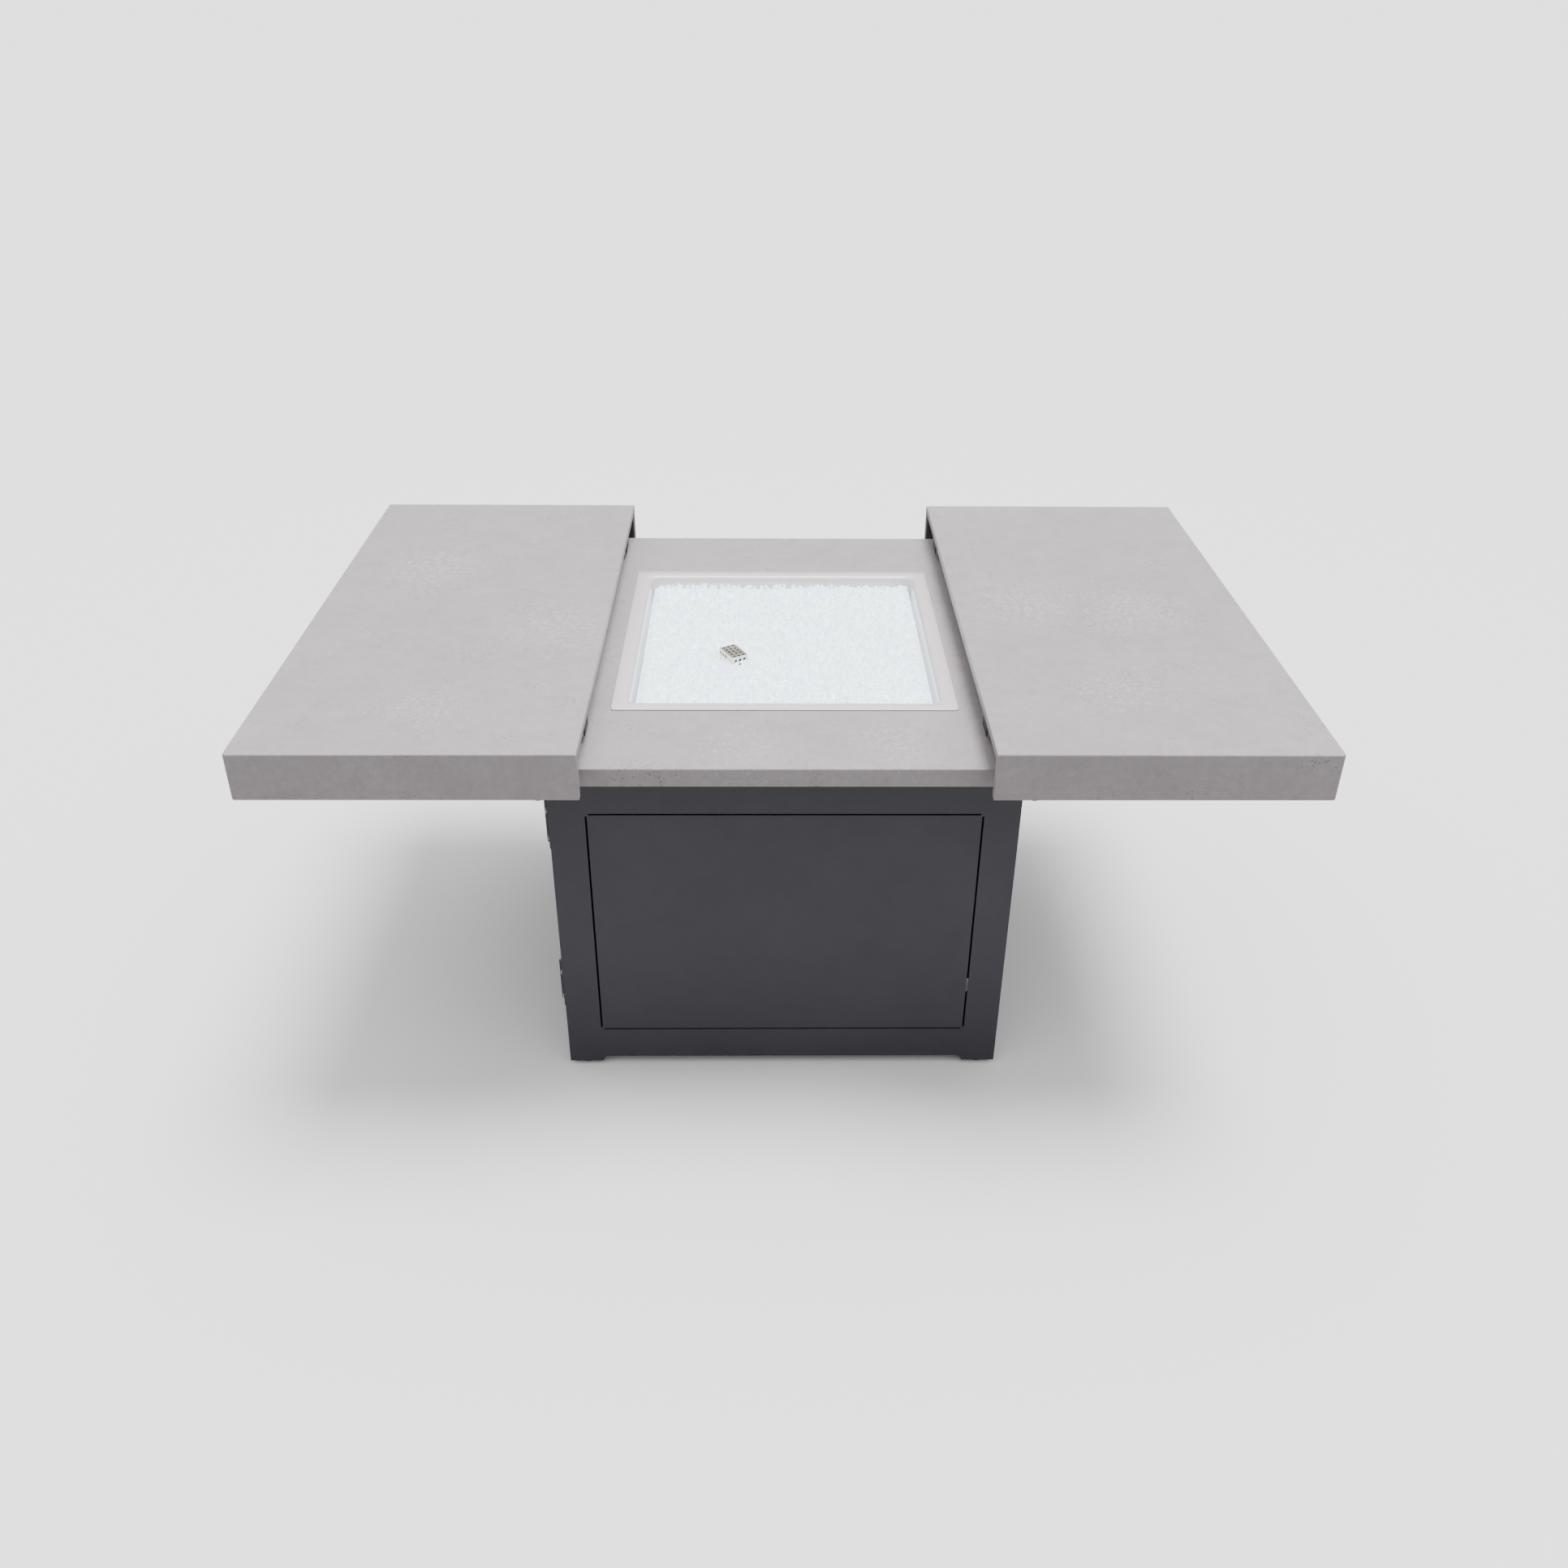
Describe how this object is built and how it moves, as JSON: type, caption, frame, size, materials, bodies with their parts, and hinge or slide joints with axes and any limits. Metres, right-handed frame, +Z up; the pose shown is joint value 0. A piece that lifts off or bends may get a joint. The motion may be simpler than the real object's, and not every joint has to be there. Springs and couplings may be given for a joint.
{
  "type": "gas fire pit table",
  "caption": "Square gas fire-pit table: metal cabinet, cast-stone deck, drop-in burner pan with clear glass, and top halves that slide apart.",
  "frame": {"origin": "on the ground under the middle of the table", "axes": "+X towards the right half, along which the halves slide; -Y is the front; +Z up"},
  "size_m": [1.462, 0.914, 0.665],
  "materials": {
    "cast_stone": "cast concrete, light warm grey, matt",
    "charcoal_coat": "charcoal powder coat, fine satin",
    "pan_coat": "off-white satin coat",
    "clear_glass": "crushed clear glass",
    "stainless": "brushed stainless",
    "zinc_steel": "zinc plated",
    "black_steel": "black coat",
    "dark_plastic": "moulded, matt",
    "black_rubber": "moulded rubber",
    "grey_rubber": "moulded rubber, grey",
    "valve_brass": "machined brass",
    "white_ceramic": "glazed ceramic",
    "knob_metal": "satin aluminium",
    "yellow_hose": "corrugated stainless hose"
  },
  "bodies": {
    "cabinet": {"front_panel": "charcoal_coat", "back_panel": "charcoal_coat", "right_panel": "charcoal_coat", "left_surround": "charcoal_coat", "corner_posts": "charcoal_coat", "long_deck_rails": "charcoal_coat", "short_deck_rails": "charcoal_coat", "base_tray": "charcoal_coat", "bottle_guides": "charcoal_coat", "foot_plates": "zinc_steel", "deck": "cast_stone", "burner_pan": "pan_coat", "burner_tube": "stainless", "burner_inlet": "zinc_steel", "air_mixer": "stainless", "heat_shield": "zinc_steel", "igniter_cage": "stainless", "spark_electrode": "white_ceramic", "flame_sensor": "stainless", "fire_glass": "clear_glass", "control_plate": "stainless", "gas_valve": "valve_brass", "gas_inlet": "valve_brass", "gas_hose": "yellow_hose", "igniter_barrel": "dark_plastic", "fixed_hinge_leaves": "charcoal_coat", "hinge_pins": "zinc_steel", "door_catch": "dark_plastic", "cabinet_screws": "zinc_steel", "left_trolleys": "black_steel", "right_trolleys": "black_steel", "roller_axles": "zinc_steel"},
    "door": {"access_door": "charcoal_coat", "moving_hinge_leaves": "charcoal_coat", "door_pull": "charcoal_coat", "door_screws": "zinc_steel"},
    "knob": {"valve_knob": "knob_metal", "valve_stem": "zinc_steel"},
    "button": {"igniter_button": "dark_plastic"},
    "left_half": {"left_top": "cast_stone", "left_inner_frame": "charcoal_coat", "left_slide_rails": "zinc_steel", "left_rail_stops": "black_rubber", "left_lip_bumpers": "grey_rubber", "left_frame_screws": "zinc_steel"},
    "left_inner_roller_set": {"left_inner_rollers": "dark_plastic"},
    "left_outer_roller_set": {"left_outer_rollers": "dark_plastic"},
    "right_half": {"right_top": "cast_stone", "right_inner_frame": "charcoal_coat", "right_slide_rails": "zinc_steel", "right_rail_stops": "black_rubber", "right_lip_bumpers": "grey_rubber", "right_frame_screws": "zinc_steel"},
    "right_inner_roller_set": {"right_inner_rollers": "dark_plastic"},
    "right_outer_roller_set": {"right_outer_rollers": "dark_plastic"},
    "front_left_foot_body": {"front_left_foot": "black_rubber"},
    "front_right_foot_body": {"front_right_foot": "black_rubber"},
    "back_left_foot_body": {"back_left_foot": "black_rubber"},
    "back_right_foot_body": {"back_right_foot": "black_rubber"}
  },
  "joints": [
    {"name": "left_half_slide", "type": "slide", "parent": "cabinet", "child": "left_half", "axis": [1, 0, 0], "range_m": [0, 0.2735]},
    {"name": "left_inner_rollers_turn", "type": "hinge", "parent": "cabinet", "child": "left_inner_roller_set", "pos_m": [-0.309, 0, 0.639], "axis": [0, 1, 0], "range_deg": [-1970, 0]},
    {"name": "left_outer_rollers_turn", "type": "hinge", "parent": "cabinet", "child": "left_outer_roller_set", "pos_m": [-0.381, 0, 0.639], "axis": [0, 1, 0], "range_deg": [0, 1970]},
    {"name": "right_half_slide", "type": "slide", "parent": "cabinet", "child": "right_half", "axis": [-1, 0, 0], "range_m": [0, 0.2735]},
    {"name": "right_inner_rollers_turn", "type": "hinge", "parent": "cabinet", "child": "right_inner_roller_set", "pos_m": [0.309, 0, 0.639], "axis": [0, 1, 0], "range_deg": [0, 1970]},
    {"name": "right_outer_rollers_turn", "type": "hinge", "parent": "cabinet", "child": "right_outer_roller_set", "pos_m": [0.381, 0, 0.639], "axis": [0, 1, 0], "range_deg": [-1970, 0]},
    {"name": "door_swing", "type": "hinge", "parent": "cabinet", "child": "door", "pos_m": [-0.3476, -0.296, 0.3075], "axis": [0, 0, 1], "range_deg": [0, 110]},
    {"name": "knob_turn", "type": "hinge", "parent": "cabinet", "child": "knob", "pos_m": [0.346, -0.15, 0.542], "axis": [1, 0, 0], "range_deg": [0, 230]},
    {"name": "button_press", "type": "slide", "parent": "cabinet", "child": "button", "axis": [-1, 0, 0], "range_m": [0, 0.005], "stiffness_N_per_m": 600},
    {"name": "front_left_foot_level", "type": "slide", "parent": "cabinet", "child": "front_left_foot_body", "axis": [0, 0, -1], "range_m": [0, 0.008]},
    {"name": "front_right_foot_level", "type": "slide", "parent": "cabinet", "child": "front_right_foot_body", "axis": [0, 0, -1], "range_m": [0, 0.008]},
    {"name": "back_left_foot_level", "type": "slide", "parent": "cabinet", "child": "back_left_foot_body", "axis": [0, 0, -1], "range_m": [0, 0.008]},
    {"name": "back_right_foot_level", "type": "slide", "parent": "cabinet", "child": "back_right_foot_body", "axis": [0, 0, -1], "range_m": [0, 0.008]}
  ],
  "couplings": [
    {"joint": "left_inner_rollers_turn", "follows": "left_half_slide", "rad_per_m": -125},
    {"joint": "left_outer_rollers_turn", "follows": "left_half_slide", "rad_per_m": 125},
    {"joint": "right_inner_rollers_turn", "follows": "right_half_slide", "rad_per_m": 125},
    {"joint": "right_outer_rollers_turn", "follows": "right_half_slide", "rad_per_m": -125}
  ]
}
